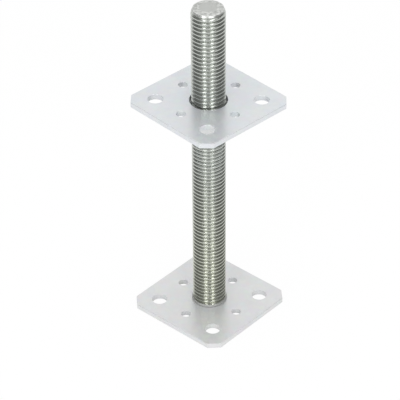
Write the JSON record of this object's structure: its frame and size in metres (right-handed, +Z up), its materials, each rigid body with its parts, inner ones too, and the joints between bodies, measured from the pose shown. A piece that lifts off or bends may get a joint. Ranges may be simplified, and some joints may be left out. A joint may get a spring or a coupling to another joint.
{
  "type": "adjustable post base",
  "caption": "Adjustable post base: a square base plate with a welded threaded rod, and a drilled upper plate that rests on a height-setting nut.",
  "frame": {"origin": "on the rod's axis, on the underside of the base plate", "axes": "+Z up the rod, +X and +Y square to the sides of the base plate"},
  "size_m": [0.0886, 0.0886, 0.253],
  "materials": {
    "galvanised_plate": "satin hot-dip galvanised",
    "bright_thread": "bright zinc-plated rolled thread",
    "galvanised_weld": "matt galvanised weld bead",
    "zinc_nut": "zinc-plated"
  },
  "bodies": {
    "base": {"base_plate": "galvanised_plate", "threaded_rod": "bright_thread", "rod_weld": "galvanised_weld"},
    "support": {"upper_plate": "galvanised_plate"},
    "nut": {"adjusting_nut": "zinc_nut"}
  },
  "joints": [
    {"name": "height_adjust", "type": "slide", "parent": "base", "child": "support", "axis": [0, 0, 1], "range_m": [-0.148, 0.073]},
    {"name": "nut_turn", "type": "hinge", "parent": "support", "child": "nut", "pos_m": [0, 0, 0.1655], "axis": [0, 0, 1], "range_deg": [-17761, 8761]}
  ],
  "couplings": [
    {"joint": "nut_turn", "follows": "height_adjust", "rad_per_m": 2094.4}
  ]
}
